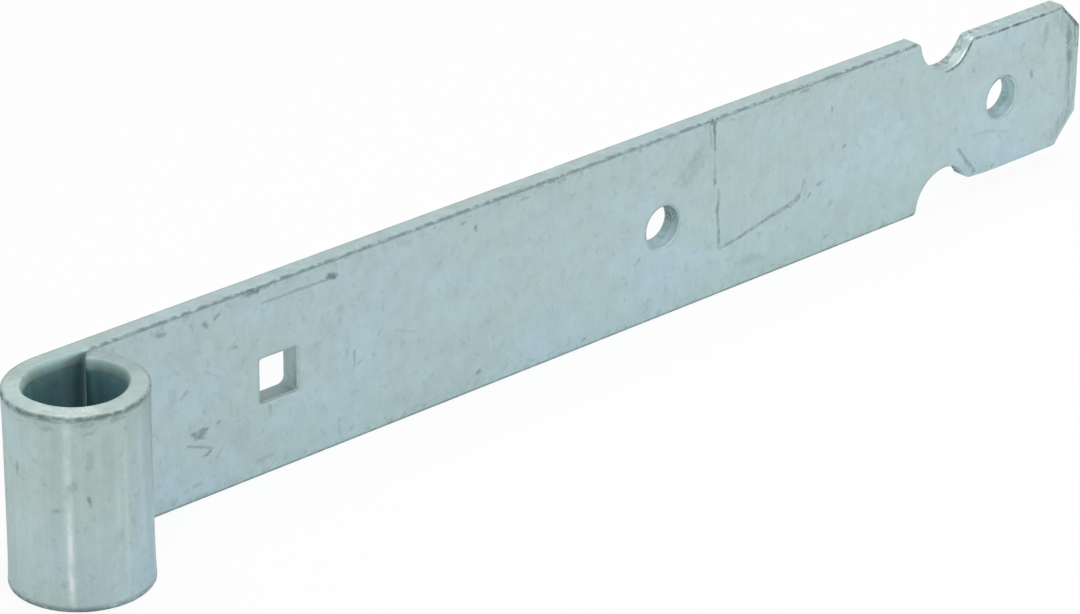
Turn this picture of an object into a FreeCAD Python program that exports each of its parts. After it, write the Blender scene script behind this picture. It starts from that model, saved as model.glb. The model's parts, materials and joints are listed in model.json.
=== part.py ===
"""Gate band with a rolled pin eye, made from one length of flat steel strip.

Millimetres. The eye's axis is Z and passes through the origin, half way up the strip.
The strap runs along +X on edge. Its front face looks along -Y and is tangent to the bore.
"""
import FreeCAD, Part
from math import asin, cos, degrees, pi, sin, sqrt
import os

Vector = FreeCAD.Vector

# Strip
STRIP_WIDTH = 40.0
STRIP_THICKNESS = 4.2
MILL_EDGE_RADIUS = 0.5

# Rolled eye
BORE_DIAMETER = 19.0
TIP_GAP = 0.3
TIP_NOSE_RADIUS = 1.1
TIP_BORE_CORNER_RADIUS = 0.7

# Strap, from the eye's axis
STRAP_REACH = 282.0
SQUARE_HOLE_PLACE = 55.0
SQUARE_HOLE_SIDE = 9.0
SQUARE_HOLE_CORNER_RADIUS = 0.6
ROUND_HOLE_DIAMETER = 9.0
MIDDLE_HOLE_PLACE = 156.0

# Notched head, from the far end
HEAD_LENGTH = 42.0
HEAD_HOLE_FROM_END = 25.0
HEAD_STEP = 3.6
HEAD_CORNER = 6.3
NOTCH_RADIUS = 8.5
SHOULDER_RADIUS = 2.0

# The punch and the shear draw the front edges of what they cut down by this much
SHEAR_ROLLOVER = 0.35

BORE_RADIUS = BORE_DIAMETER / 2
EYE_RADIUS = BORE_RADIUS + STRIP_THICKNESS
FRONT_Y = BORE_RADIUS
BACK_Y = EYE_RADIUS
HALF_WIDTH = STRIP_WIDTH / 2
HEAD_HALF_WIDTH = HALF_WIDTH - HEAD_STEP
HEAD_HOLE_PLACE = STRAP_REACH - HEAD_HOLE_FROM_END
NOTCH_PLACE = STRAP_REACH - HEAD_LENGTH
TOOL_MARGIN = STRIP_THICKNESS
NEAR = 1e-4


def eye_point(radius, angle):
    """A point of the eye's section, by its angle from +X in radians."""
    return Vector(radius * cos(angle), radius * sin(angle), -HALF_WIDTH)


def arc_about_axis(radius, start, end):
    """The arc about the eye's axis from one angle to another, both in radians."""
    middle = eye_point(radius, (start + end) / 2)
    return Part.Arc(eye_point(radius, start), middle, eye_point(radius, end)).toShape()


def arc_about(centre, start, end):
    """The short arc of a small circle from start to end."""
    radius = (start - centre).Length
    middle = centre + ((start + end) * 0.5 - centre).normalize() * radius
    return Part.Arc(start, middle, end).toShape()


def strip_section():
    """The strip seen along the eye's axis: strap, rolled eye and rounded tip in one face.

    The tip stops where its outer face, rolled on, would come within the gap of the strap.
    """
    nose_centre_radius = EYE_RADIUS - TIP_NOSE_RADIUS
    corner_centre_radius = BORE_RADIUS + TIP_BORE_CORNER_RADIUS
    tip_angle = 2 * pi + asin((FRONT_Y - TIP_GAP) / EYE_RADIUS)
    nose_angle = tip_angle - asin(TIP_NOSE_RADIUS / nose_centre_radius)
    corner_angle = tip_angle - asin(TIP_BORE_CORNER_RADIUS / corner_centre_radius)
    nose_centre = eye_point(nose_centre_radius, nose_angle)
    corner_centre = eye_point(corner_centre_radius, corner_angle)
    nose_end = eye_point(nose_centre_radius * cos(tip_angle - nose_angle), tip_angle)
    corner_start = eye_point(corner_centre_radius * cos(tip_angle - corner_angle), tip_angle)

    back_start = Vector(STRAP_REACH, BACK_Y, -HALF_WIDTH)
    front_end = Vector(STRAP_REACH, FRONT_Y, -HALF_WIDTH)
    outer_top = eye_point(EYE_RADIUS, pi / 2)
    inner_top = eye_point(BORE_RADIUS, pi / 2)
    edges = [
        Part.makeLine(back_start, outer_top),
        arc_about_axis(EYE_RADIUS, pi / 2, nose_angle),
        arc_about(nose_centre, eye_point(EYE_RADIUS, nose_angle), nose_end),
        Part.makeLine(nose_end, corner_start),
        arc_about(corner_centre, corner_start, eye_point(BORE_RADIUS, corner_angle)),
        arc_about_axis(BORE_RADIUS, corner_angle, pi / 2),
        Part.makeLine(inner_top, front_end),
        Part.makeLine(front_end, back_start),
    ]
    return Part.Face(Part.Wire(edges))


def rolled_strip():
    """The strip as rolled, with its mill edges rounded all the way round the eye."""
    strip = strip_section().extrude(Vector(0, 0, STRIP_WIDTH))
    mill_edges = [
        edge
        for edge in strip.Edges
        if edge.BoundBox.ZLength < NEAR and edge.BoundBox.XMin < STRAP_REACH - NEAR
    ]
    return strip.makeFillet(MILL_EDGE_RADIUS, mill_edges)


def head_trim():
    """What the press takes off the strap's upper edge: the notch, the strip beside the head and its corner."""
    top = HALF_WIDTH + TOOL_MARGIN
    beyond = STRAP_REACH + TOOL_MARGIN
    head_start = NOTCH_PLACE + sqrt(NOTCH_RADIUS ** 2 - HEAD_STEP ** 2)
    notch_start = Vector(NOTCH_PLACE - NOTCH_RADIUS, 0, HALF_WIDTH)
    notch_bottom = Vector(NOTCH_PLACE, 0, HALF_WIDTH - NOTCH_RADIUS)
    notch_end = Vector(head_start, 0, HEAD_HALF_WIDTH)
    corner_start = Vector(STRAP_REACH - HEAD_CORNER, 0, HEAD_HALF_WIDTH)
    corner_end = Vector(beyond, 0, HEAD_HALF_WIDTH - HEAD_CORNER - TOOL_MARGIN)
    above_end = Vector(beyond, 0, top)
    above_start = Vector(NOTCH_PLACE - NOTCH_RADIUS, 0, top)
    edges = [
        Part.Arc(notch_start, notch_bottom, notch_end).toShape(),
        Part.makeLine(notch_end, corner_start),
        Part.makeLine(corner_start, corner_end),
        Part.makeLine(corner_end, above_end),
        Part.makeLine(above_end, above_start),
        Part.makeLine(above_start, notch_start),
    ]
    tool = Part.Face(Part.Wire(edges)).extrude(Vector(0, BACK_Y + TOOL_MARGIN, 0))
    shoulder = [
        edge
        for edge in tool.Edges
        if edge.BoundBox.XLength < NEAR
        and abs(edge.BoundBox.XMin - head_start) < NEAR
        and edge.BoundBox.YLength > STRIP_THICKNESS
    ]
    return tool.makeFillet(SHOULDER_RADIUS, shoulder)


def trim_head(strip):
    """Cuts the two notches and the narrower head, alike on both edges."""
    upper = head_trim()
    lower = upper.mirror(Vector(0, 0, 0), Vector(0, 0, 1))
    return strip.cut(upper).cut(lower)


def round_hole(place):
    """The punch for a round hole through the strap."""
    start = Vector(place, FRONT_Y - TOOL_MARGIN, 0)
    length = STRIP_THICKNESS + 2 * TOOL_MARGIN
    return Part.makeCylinder(ROUND_HOLE_DIAMETER / 2, length, start, Vector(0, 1, 0))


def square_hole(place):
    """The punch for the square hole that keeps a carriage bolt from turning."""
    half = SQUARE_HOLE_SIDE / 2
    length = STRIP_THICKNESS + 2 * TOOL_MARGIN
    corner = Vector(place - half, FRONT_Y - TOOL_MARGIN, -half)
    punch = Part.makeBox(SQUARE_HOLE_SIDE, length, SQUARE_HOLE_SIDE, corner)
    corners = [edge for edge in punch.Edges if edge.BoundBox.YLength > length / 2]
    return punch.makeFillet(SQUARE_HOLE_CORNER_RADIUS, corners)


def punch_holes(strip):
    """The square hole by the eye and the round ones in the middle and the head."""
    strip = strip.cut(square_hole(SQUARE_HOLE_PLACE))
    for place in (MIDDLE_HOLE_PLACE, HEAD_HOLE_PLACE):
        strip = strip.cut(round_hole(place))
    return strip


def is_sheared(edge):
    """True for a front edge left by the punch or the shear, and not for the mill edges."""
    box = edge.BoundBox
    in_front_face = abs(box.YMin - FRONT_Y) < NEAR and box.YLength < NEAR
    runs_to_eye = box.XMin < SQUARE_HOLE_PLACE - SQUARE_HOLE_SIDE
    on_mill_edge = min(abs(box.ZMin), abs(box.ZMax)) > HALF_WIDTH - MILL_EDGE_RADIUS - NEAR
    return in_front_face and not runs_to_eye and not on_mill_edge


def roll_over_sheared_edges(strip):
    """Rounds the front edges of the holes, notches, head and end."""
    return strip.makeFillet(SHEAR_ROLLOVER, [edge for edge in strip.Edges if is_sheared(edge)])


def make_band():
    strip = rolled_strip()
    strip = trim_head(strip)
    strip = punch_holes(strip)
    return roll_over_sheared_edges(strip)


def main():
    os.makedirs("parts", exist_ok=True)
    band = make_band()
    band.exportStep("parts/band.step")
    wrap = degrees(2 * pi + asin((FRONT_Y - TIP_GAP) / EYE_RADIUS) - pi / 2)
    print("band", "valid", band.isValid(), "solids", len(band.Solids), "faces", len(band.Faces))
    print("volume mm3 %.0f" % band.Volume, "wrap degrees %.1f" % wrap)
    print("box", band.BoundBox)


main()
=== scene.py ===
"""Gate band with a rolled pin eye, in bright zinc plate, on a pale studio table.

The strip is drawn flat, as the press leaves it, and then rolled up. A point of the flat blank
has a place along the strip, across it and through its thickness, and keeps those three numbers
for the marks on its surface. Along the strip the strap is above zero and the eye below it.
"""
import json
import math
from collections import namedtuple

import bpy
import numpy as np
from bpy.props import FloatProperty, FloatVectorProperty, PointerProperty
from mathutils import Matrix, Vector
from mathutils.geometry import delaunay_2d_cdt
from mathutils.kdtree import KDTree


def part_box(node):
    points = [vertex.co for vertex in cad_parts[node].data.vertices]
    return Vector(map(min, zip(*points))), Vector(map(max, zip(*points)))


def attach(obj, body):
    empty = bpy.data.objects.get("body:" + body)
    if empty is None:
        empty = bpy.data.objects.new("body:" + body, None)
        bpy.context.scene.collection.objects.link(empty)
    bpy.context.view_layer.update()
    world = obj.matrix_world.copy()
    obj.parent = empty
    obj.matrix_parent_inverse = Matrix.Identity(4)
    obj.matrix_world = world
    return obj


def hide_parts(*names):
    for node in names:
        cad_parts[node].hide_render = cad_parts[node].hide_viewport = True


bl_info = {
    "name": "Gate band",
    "version": (1, 0, 0),
    "blender": (4, 5, 0),
    "location": "View3D > Sidebar > Gate band",
    "description": "Rolls a zinc plated gate band and lays out its studio table",
    "category": "Object",
}

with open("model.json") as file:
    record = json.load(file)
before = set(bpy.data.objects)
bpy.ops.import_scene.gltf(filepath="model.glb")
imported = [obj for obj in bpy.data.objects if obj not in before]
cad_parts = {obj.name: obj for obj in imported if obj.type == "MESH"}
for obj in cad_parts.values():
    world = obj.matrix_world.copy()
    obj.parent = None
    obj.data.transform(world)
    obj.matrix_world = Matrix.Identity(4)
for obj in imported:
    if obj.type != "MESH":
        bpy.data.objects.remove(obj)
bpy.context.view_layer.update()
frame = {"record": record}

MM = 0.001
BAND_LOW, BAND_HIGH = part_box("band")
MOUNTS = {mount["name"]: mount for mount in frame["record"]["mounts"]}
BORE_RADIUS = MOUNTS["eye_bore"]["dims"]["r_mm"] * MM
BOLTS = MOUNTS["strap_bolts"]
BOLT_SPACING = BOLTS["dims"]["spacing_x_mm"] * MM
BOLT_HOLE_RADIUS = BOLTS["dims"]["hole_r_mm"] * MM
BOLT_PLACES = [BOLTS["pos_m"][0] + half * BOLT_SPACING for half in (-0.5, 0.5)]
SQUARE_HOLE_PLACE = MOUNTS["square_hole"]["pos_m"][0]

# Rows of points beside every edge of the blank, in millimetres from the edge
EDGE_ROWS = (0.02, 0.07, 0.15, 0.27, 0.42, 0.62, 0.9, 1.3, 2.0)
WALL_ROWS = 7
EYE_PITCH = 0.7
STRAP_PITCH = 1.3
ARC_PITCH = 0.32
GRID_PITCH = 1.6
GRID_STAGGER = 0.01

# Rows of points along every mark, in widths of the mark from its middle
MARK_ROWS = (-1.4, -0.9, -0.45, 0.0, 0.45, 0.9, 1.4)
MARK_STEP = 0.3

# How near the points of the blank may come to each other, in millimetres
EDGE_CELL = 0.03
MARK_CELL = 0.1
MARK_CLEARANCE = 0.08
GRID_CLEARANCE = 0.5
SAME_POINT = 1e-6
NO_AREA = 1e-9

# A point of an edge row counts as another edge's when it lies nearer to it than this share
ROW_SHARE = 0.97

# Kinds of edge, how far from the tip its own rounding reaches and a gap that no edge is in
MILL, SHEARED = 0, 1
TIP_ZONE = 3.0
FAR_AWAY = 99.0

# Points measured at a time
BATCH = 400

# Where the drag of the press ends, along the strip from a shoulder, across the strip from its
# middle and along the strip from the far end
SHOULDER_DRAG = 4.5
SHOULDER_DRAG_ACROSS = (5, 9)
END_DRAG = (10, 4)

# Stretches of the eye, from the strap on, over which the lips of the bore open, close at the
# front of the eye and open again, and over which the strip takes the shape of the rolls
LIP_STARTS = (-9, -2)
LIP_CLOSES = (13, 21)
LIP_OPENS = (44, 54)
ROLLED = (-2.0, 7.0)

# How far the rolls' effects reach: from the tip, and from the eye's two ends
TIP_FADE = (2, 22)
DRAW_REACH = 4.5
FLARE_REACH = 3.5

# Sine waves of the uneven press work, the rolls' flats and the strap, for uneven()
PRESS_WAVES = ((0.31, 0.5, 1.0), (0.83, -0.4, 4.0))
ROLL_WAVES = ((0.55, 0.0, 0.4), (0.93, 0.02, 2.0), (1.7, -0.01, 5.1))
STRAP_WAVES = ((0.09, 0.11, 0.0), (0.17, -0.13, 2.2), (0.05, 0.31, 4.0))


class BandSizes(bpy.types.PropertyGroup):
    """Sizes of the strip, and of what the press and the rolling do to it."""

    width: FloatProperty(
        name="Strip width", description="Width of the strip, which is the height of the eye",
        default=BAND_HIGH[2] - BAND_LOW[2], unit="LENGTH")
    thickness: FloatProperty(
        name="Strip thickness", description="Thickness of the strip",
        default=BAND_HIGH[1] - BORE_RADIUS, unit="LENGTH")
    bore_radius: FloatProperty(
        name="Bore radius", description="Inside radius of the rolled eye",
        default=BORE_RADIUS, unit="LENGTH")
    reach: FloatProperty(
        name="Reach", description="From the eye's axis to the far end of the strap",
        default=BAND_HIGH[0], unit="LENGTH")
    tip_gap: FloatProperty(
        name="Tip gap", description="Space between the rolled tip and the strap",
        default=0.3 * MM, unit="LENGTH")
    tip_nose: FloatProperty(
        name="Tip nose", description="Rounding of the tip's outer corner",
        default=1.1 * MM, unit="LENGTH")
    tip_bore_corner: FloatProperty(
        name="Tip bore corner", description="Rounding of the painted shade at the corner of the tip in the bore",
        default=0.7 * MM, unit="LENGTH")
    square_side: FloatProperty(
        name="Square hole", description="Side of the square hole",
        default=9.0 * MM, unit="LENGTH")
    square_corner: FloatProperty(
        name="Square hole corner", description="Corner radius of the square hole",
        default=0.6 * MM, unit="LENGTH")
    head_length: FloatProperty(
        name="Head length", description="From the notches to the far end",
        default=42.0 * MM, unit="LENGTH")
    head_step: FloatProperty(
        name="Head step", description="How far the head is set in from each edge of the strip",
        default=3.6 * MM, unit="LENGTH")
    head_corner: FloatProperty(
        name="Head corner", description="Size of the corners cut off the head",
        default=6.3 * MM, unit="LENGTH")
    notch_radius: FloatProperty(
        name="Notch radius", description="Radius of the two notches",
        default=8.5 * MM, unit="LENGTH")
    shoulder_radius: FloatProperty(
        name="Shoulder radius", description="Rounding where a notch meets the head",
        default=2.0 * MM, unit="LENGTH")
    cut_corner: FloatProperty(
        name="Cut corner", description="Rounding where two cuts meet",
        default=0.4 * MM, unit="LENGTH")
    mill_edge: FloatProperty(
        name="Mill edge", description="Rounding of the strip's long edges",
        default=0.5 * MM, unit="LENGTH")
    rollover_depth: FloatProperty(
        name="Rollover depth", description="How deep the press draws down a cut edge",
        default=0.35 * MM, unit="LENGTH")
    rollover_width: FloatProperty(
        name="Rollover width", description="How far from the cut the face starts to fall",
        default=1.2 * MM, unit="LENGTH")
    notch_mouth: FloatProperty(
        name="Notch mouth", description="Rounding where the lower notch leaves the strip's edge",
        default=1.1 * MM, unit="LENGTH")
    upper_notch_mouth: FloatProperty(
        name="Upper notch mouth",
        description="Rounding where the upper notch leaves the strip's edge",
        default=2.0 * MM, unit="LENGTH")
    drag_depth: FloatProperty(
        name="Drag depth", description="How far the cuts drag down the head's end and shoulders",
        default=0.8 * MM, unit="LENGTH")
    drag_width: FloatProperty(
        name="Drag width", description="How far from the cut that drag starts",
        default=4.6 * MM, unit="LENGTH")
    square_back_corner: FloatProperty(
        name="Square hole back corner", description="Corner radius of the square hole on the back",
        default=1.7 * MM, unit="LENGTH")
    hole_burr: FloatProperty(
        name="Hole burr", description="How far the round holes close in at the back",
        default=0.25 * MM, unit="LENGTH")
    upper_notch_shift: FloatProperty(
        name="Upper notch shift", description="How much nearer to the eye the upper notch was cut",
        default=0.5 * MM, unit="LENGTH")
    mark_depth: FloatProperty(
        name="Mark depth", description="Depth of the deepest scratches",
        default=0.06 * MM, unit="LENGTH")
    back_edge: FloatProperty(
        name="Back edge", description="Rounding of a cut edge on the strap's back",
        default=0.12 * MM, unit="LENGTH")
    edge_draw: FloatProperty(
        name="Edge draw", description="How far rolling draws in the eye's outer edges",
        default=0.3 * MM, unit="LENGTH")
    lip_fall: FloatProperty(
        name="Lip fall", description="How far the bore opens out at its two lips",
        default=1.0 * MM, unit="LENGTH")
    lip_width: FloatProperty(
        name="Lip width", description="How far below each lip the bore starts to open out",
        default=3.0 * MM, unit="LENGTH")
    edge_flare: FloatProperty(
        name="Edge flare", description="How far the eye's ends stand out from its waist",
        default=0.25 * MM, unit="LENGTH")
    roll_flats: FloatProperty(
        name="Roll flats", description="Depth of the flats that rolling leaves round the eye",
        default=0.06 * MM, unit="LENGTH")
    waves: FloatProperty(
        name="Waves", description="Depth of the long waves in the flat of the strap",
        default=0.03 * MM, unit="LENGTH")


class ZincFinish(bpy.types.PropertyGroup):
    """Colours of the plating and of the marks on it."""

    cool: FloatVectorProperty(
        name="Blue tint", description="Plating where the film is bluest", subtype="COLOR",
        default=(0.445, 0.58, 0.632), min=0.0, max=1.0)
    warm: FloatVectorProperty(
        name="Green tint", description="Plating where the film is greenest", subtype="COLOR",
        default=(0.43, 0.545, 0.525), min=0.0, max=1.0)
    # Colour of the painted highlights up the eye and on the front of its upper end, which also
    # stands for plating worn bright
    bright: FloatVectorProperty(
        name="Rubbed steel", description="Plating rubbed bright by the rolls", subtype="COLOR",
        default=(0.74, 0.83, 0.79), min=0.0, max=1.0)
    # Colour of the scratches, specks and grime, and of the painted shade along the mill edges
    soot_and_shade: FloatVectorProperty(
        name="Marks", description="Scratches, specks and dirt", subtype="COLOR",
        default=(0.125, 0.165, 0.165), min=0.0, max=1.0)
    # How dark the line along the mill edges is, partly grime and partly painted shade
    edge_dirt_and_shade: FloatProperty(
        name="Edge dirt", description="How dark the line along the mill edges is",
        default=0.6, min=0.0, max=1.0)
    mark_strength: FloatProperty(
        name="Mark strength", description="How dark the scratches and dashes are",
        default=0.82, min=0.0, max=1.0)


class StudioSettings(bpy.types.PropertyGroup):
    """Camera, lamps and backdrop."""

    azimuth: FloatProperty(
        name="Azimuth", description="Direction of view, from +Y towards +X",
        default=math.radians(42.757), subtype="ANGLE")
    elevation: FloatProperty(
        name="Elevation", description="How far the camera looks down",
        default=math.radians(25.455), subtype="ANGLE")
    roll: FloatProperty(
        name="Roll", description="Turn of the camera about its line of view",
        default=math.radians(-0.443), subtype="ANGLE")
    aim: FloatVectorProperty(
        name="Aim", description="Point of the strap's front face in the middle of the picture",
        default=(122.25 * MM, BORE_RADIUS, -7.09 * MM), subtype="TRANSLATION", unit="LENGTH")
    distance: FloatProperty(
        name="Distance", description="From the camera to the aim",
        default=965.49 * MM, unit="LENGTH")
    lens: FloatProperty(
        name="Lens", description="Focal length in millimetres, on a sensor 36 mm wide",
        default=162.02, min=1.0)
    top_lamp: FloatProperty(
        name="Top lamp", description="Power of the lamp overhead, in watts",
        default=4.0, min=0.0)
    front_lamp: FloatProperty(
        name="Front lamp", description="Power of the lamp above the camera, in watts",
        default=4.4, min=0.0)
    ambient: FloatProperty(
        name="Ambient", description="Strength of the world where it only lights",
        default=0.6, min=0.0)


# One straight scratch, dash or speck on the side that the camera sees. Places are along and
# across the strip in millimetres
Mark = namedtuple("Mark", "start end width strength")


def as_marks(*rows):
    """Marks from rows that give a start, an end, a width and a strength."""
    return [Mark(row[:2], row[2:4], *row[4:]) for row in rows]


SCRIBED_LINE = as_marks(
    (169.9, 20.0, 170.1, 16.8, 0.60, 0.80),
    (170.1, 16.8, 170.3, 13.0, 0.52, 0.62),
    (168.7, 18.6, 169.4, 13.8, 0.45, 0.30),
    (170.3, 13.0, 170.5, 6.0, 0.45, 0.28),
    (171.8, 2.1, 171.3, -1.2, 0.58, 0.66),
    (171.3, -1.2, 171.9, -5.5, 0.48, 0.48),
    (171.9, -5.5, 172.0, -9.7, 0.55, 0.66),
    (172.0, -9.7, 177.7, -8.9, 0.52, 0.55),
    (177.7, -8.9, 187.6, -6.7, 0.56, 0.58),
    (187.6, -6.7, 193.8, -5.7, 0.72, 0.66),
)

SMUDGES = as_marks(
    (277.8, 11.2, 278.5, 3.2, 1.45, 0.68),
    (276.5, 15.0, 281.2, 10.3, 0.85, 0.95),
    (279.9, 10.4, 280.6, 5.4, 0.50, 0.75),
    (278.7, 2.6, 278.9, -6.8, 0.42, 0.55),
    (279.1, -7.0, 278.2, -11.8, 0.55, 0.60),
    (162.4, 9.4, 166.4, 12.8, 3.0, 0.26),
    (159.4, 8.8, 161.4, 9.8, 1.5, 0.14),
    (177.6, -14.6, 183.6, -15.1, 1.5, 0.20),
    (270.3, 13.2, 270.3, 10.0, 1.1, 0.30),
    (29.0, 4.6, 29.6, 3.0, 1.2, 0.16),
    (45.6, -12.0, 46.6, -8.0, 2.2, 0.10),
)

STRAP_MARKS = as_marks(
    (47.2, 19.4, 50.0, 19.3, 0.95, 0.90),
    (50.0, 19.3, 53.0, 19.4, 0.50, 0.55),
    (121.5, 19.6, 124.0, 19.7, 0.50, 0.55),
    (124.6, 19.5, 126.4, 19.6, 0.70, 0.85),
    (169.5, 19.5, 170.6, 19.6, 1.00, 0.85),
    (195.6, 18.8, 197.0, 18.7, 0.50, 0.45),
    (67.7, 16.6, 69.3, 16.2, 0.97, 0.90),
    (51.2, 16.2, 59.5, 16.2, 0.45, 0.36),
    (59.5, 16.2, 66.9, 16.1, 0.45, 0.45),
    (193.0, -6.1, 195.2, -4.8, 0.88, 0.62),
    (196.2, -3.5, 196.6, -1.6, 0.61, 0.34),
    (198.2, -5.4, 198.5, -5.1, 0.68, 0.50),
    (200.6, -3.8, 201.7, -3.5, 0.48, 0.45),
    (178.7, -15.1, 182.9, -14.7, 0.81, 0.18),
    (202.9, -16.7, 203.9, -16.4, 0.55, 0.34),
    (204.3, 12.7, 204.3, 11.6, 0.48, 0.39),
    (208.0, 2.6, 208.5, 2.9, 0.55, 0.39),
    (171.7, 3.4, 171.9, 2.0, 0.55, 0.45),
    (170.4, 6.3, 170.5, 5.4, 0.58, 0.62),
    (270.3, 13.2, 270.3, 11.0, 0.58, 0.45),
    (269.6, 8.9, 269.8, 8.2, 0.61, 0.20),
    (266.2, 3.4, 266.4, 2.4, 0.71, 0.56),
    (262.5, 6.9, 263.6, 7.8, 0.48, 0.22),
    (247.5, 9.4, 247.7, 8.7, 0.52, 0.39),
    (257.2, 16.0, 257.9, 16.1, 0.48, 0.50),
    (278.0, -9.4, 278.3, -8.6, 0.55, 0.62),
    (280.7, -6.9, 281.0, -6.2, 0.48, 0.45),
    (254.8, -15.4, 255.3, -15.2, 0.45, 0.39),
    (243.9, -8.3, 246.9, -12.0, 0.60, 0.47),
    (246.9, -12.0, 249.7, -15.4, 0.70, 0.56),
    (248.2, -6.3, 252.6, -6.5, 0.52, 0.21),
    (252.6, -6.5, 259.9, -8.7, 0.48, 0.18),
    (126.8, 18.7, 128.8, 18.8, 0.52, 0.50),
    (117.3, 17.8, 118.9, 17.8, 0.48, 0.45),
    (105.0, 15.6, 105.1, 14.8, 0.58, 0.62),
    (101.2, 17.4, 102.4, 17.3, 0.48, 0.43),
    (105.7, -16.2, 106.1, -16.0, 0.75, 0.56),
    (149.4, -5.3, 149.6, -5.0, 0.58, 0.43),
    (150.9, -17.3, 152.0, -16.9, 0.68, 0.16),
    (134.1, -18.2, 134.7, -18.0, 0.48, 0.47),
    (121.2, -1.8, 121.6, -1.5, 0.48, 0.20),
    (128.2, -0.5, 128.4, -3.4, 0.61, 0.11),
    (146.4, 2.0, 146.8, 1.8, 0.52, 0.18),
    (26.0, 17.5, 27.5, 17.2, 0.68, 0.50),
    (37.2, 16.3, 37.8, 15.7, 0.71, 0.56),
    (39.9, 16.6, 41.2, 17.5, 0.58, 0.56),
    (43.2, 9.4, 44.8, 9.1, 0.48, 0.34),
    (34.0, 16.9, 34.6, 16.7, 0.55, 0.34),
    (31.4, 2.6, 32.9, 4.0, 0.55, 0.43),
    (28.8, 3.1, 29.2, 2.8, 0.61, 0.16),
    (33.9, -5.6, 37.5, -5.5, 0.62, 0.66),
    (34.9, -6.4, 36.6, -6.6, 1.00, 0.70),
    (32.8, -7.8, 36.2, -9.0, 0.42, 0.43),
    (36.2, -9.0, 39.1, -10.1, 0.39, 0.36),
    (36.5, -11.1, 38.0, -10.5, 0.52, 0.67),
    (41.5, -9.9, 39.4, -12.4, 0.39, 0.22),
    (40.1, -5.2, 40.6, -5.0, 0.52, 0.50),
    (36.6, -1.5, 36.8, -1.9, 0.52, 0.22),
    (52.7, -6.1, 52.9, -8.0, 0.61, 0.34),
    (43.1, -1.6, 43.2, -4.2, 0.55, 0.12),
    (49.3, -16.6, 52.9, -16.2, 0.75, 0.22),
    (34.0, -16.5, 35.5, -16.3, 0.61, 0.22),
    (31.5, -17.1, 32.2, -16.8, 0.61, 0.18),
    (73.8, -1.0, 73.8, -4.6, 0.39, 0.47),
    (73.8, -4.6, 75.3, -3.7, 0.35, 0.22),
    (69.8, -14.6, 69.8, -17.6, 0.58, 0.21),
    (72.7, -17.4, 73.2, -17.0, 0.55, 0.38),
    (93.1, -13.0, 93.7, -12.8, 0.61, 0.22),
    (84.3, -0.1, 89.8, -2.1, 0.35, 0.18),
    (37.2, 6.5, 41.0, 3.9, 0.35, 0.19),
    (73.0, -9.7, 75.0, -10.1, 0.45, 0.13),
    (63.8, 3.5, 65.6, 3.6, 0.45, 0.14),
    (73.5, 8.4, 74.2, 8.1, 0.55, 0.13),
)

EYE_MARKS = as_marks(
    (-18.0, 8.4, -18.0, 6.9, 0.50, 0.45),
    (-30.4, 3.4, -30.6, 2.2, 0.42, 0.70),
    (-25.4, 0.8, -24.8, 0.6, 0.61, 0.32),
    (-29.9, -2.6, -29.7, -3.1, 0.52, 0.32),
    (-30.9, 12.1, -30.7, 8.6, 0.85, 0.26),
    (-31.3, 16.5, -30.2, 16.2, 0.52, 0.34),
    (-37.0, 16.0, -37.0, 14.8, 0.45, 0.32),
    (-28.0, 6.0, -27.6, 5.2, 1.10, 0.26),
    (-26.2, -14.0, -26.0, -14.5, 0.81, 0.24),
    (-31.2, 18.4, -30.2, 18.2, 1.00, 0.55),
    (-24.6, 17.6, -24.2, 17.4, 0.90, 0.30),
    (-36.4, 18.6, -34.8, 18.4, 0.90, 0.45),
)

# Lines painted bright up the eye: painted highlights where the eye would reflect the lamps, which
# also stand for lines that the rolls wore bright. Places and half widths are along the strip and
# the lines run from low to high across it, all in millimetres
Rub = namedtuple("Rub", "place half_width strength low high")

RUBBED_AND_HIGHLIT_LINES = [
    Rub(-27.3, 0.5, 0.80, -17.0, 1.0),
    Rub(-27.3, 0.8, 0.36, -20.0, 20.0),
    Rub(-27.2, 0.7, 0.36, 13.0, 19.0),
    Rub(-36.8, 0.4, 0.12, -14.0, 16.0),
    Rub(-35.3, 0.4, 0.08, -8.0, 16.0),
    Rub(-21.5, 1.6, 0.14, -12.0, 18.0),
]


def arc_points(centre, radius, start, turn, pitch):
    """Points on an arc, about a pitch apart, from an angle on through a turn."""
    count = max(2, math.ceil(abs(turn) * radius / pitch))
    angles = start + turn * np.linspace(0, 1, count + 1)
    return np.stack([centre[0] + radius * np.cos(angles), centre[1] + radius * np.sin(angles)], 1)


def line_points(start, end, pitch):
    """Points on a straight line, both ends included, about a pitch apart."""
    start, end = np.asarray(start, float), np.asarray(end, float)
    count = max(1, math.ceil(np.linalg.norm(end - start) / pitch))
    return start + (end - start) * np.linspace(0, 1, count + 1)[:, None]


def corner_points(before, corner, after, radius):
    """The small arc that rounds one corner between two straight cuts."""
    before, corner, after = (np.asarray(point, float) for point in (before, corner, after))
    back = (before - corner) / np.linalg.norm(before - corner)
    ahead = (after - corner) / np.linalg.norm(after - corner)
    half = math.acos(np.clip(back @ ahead, -1, 1)) / 2
    centre = corner + (back + ahead) / np.linalg.norm(back + ahead) * radius / math.sin(half)
    first = corner + back * radius / math.tan(half) - centre
    last = corner + ahead * radius / math.tan(half) - centre
    turn = math.atan2(first[0] * last[1] - first[1] * last[0], first @ last)
    return arc_points(centre, radius, math.atan2(first[1], first[0]), turn, radius / 3)


def tip_place(sizes):
    """Where along the strip its rolled tip ends, which is below zero."""
    outer = sizes.bore_radius + sizes.thickness
    tip_angle = 2 * math.pi + math.asin((sizes.bore_radius - sizes.tip_gap) / outer)
    return -(tip_angle - math.pi / 2) * (sizes.bore_radius + sizes.thickness / 2) / MM


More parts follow.
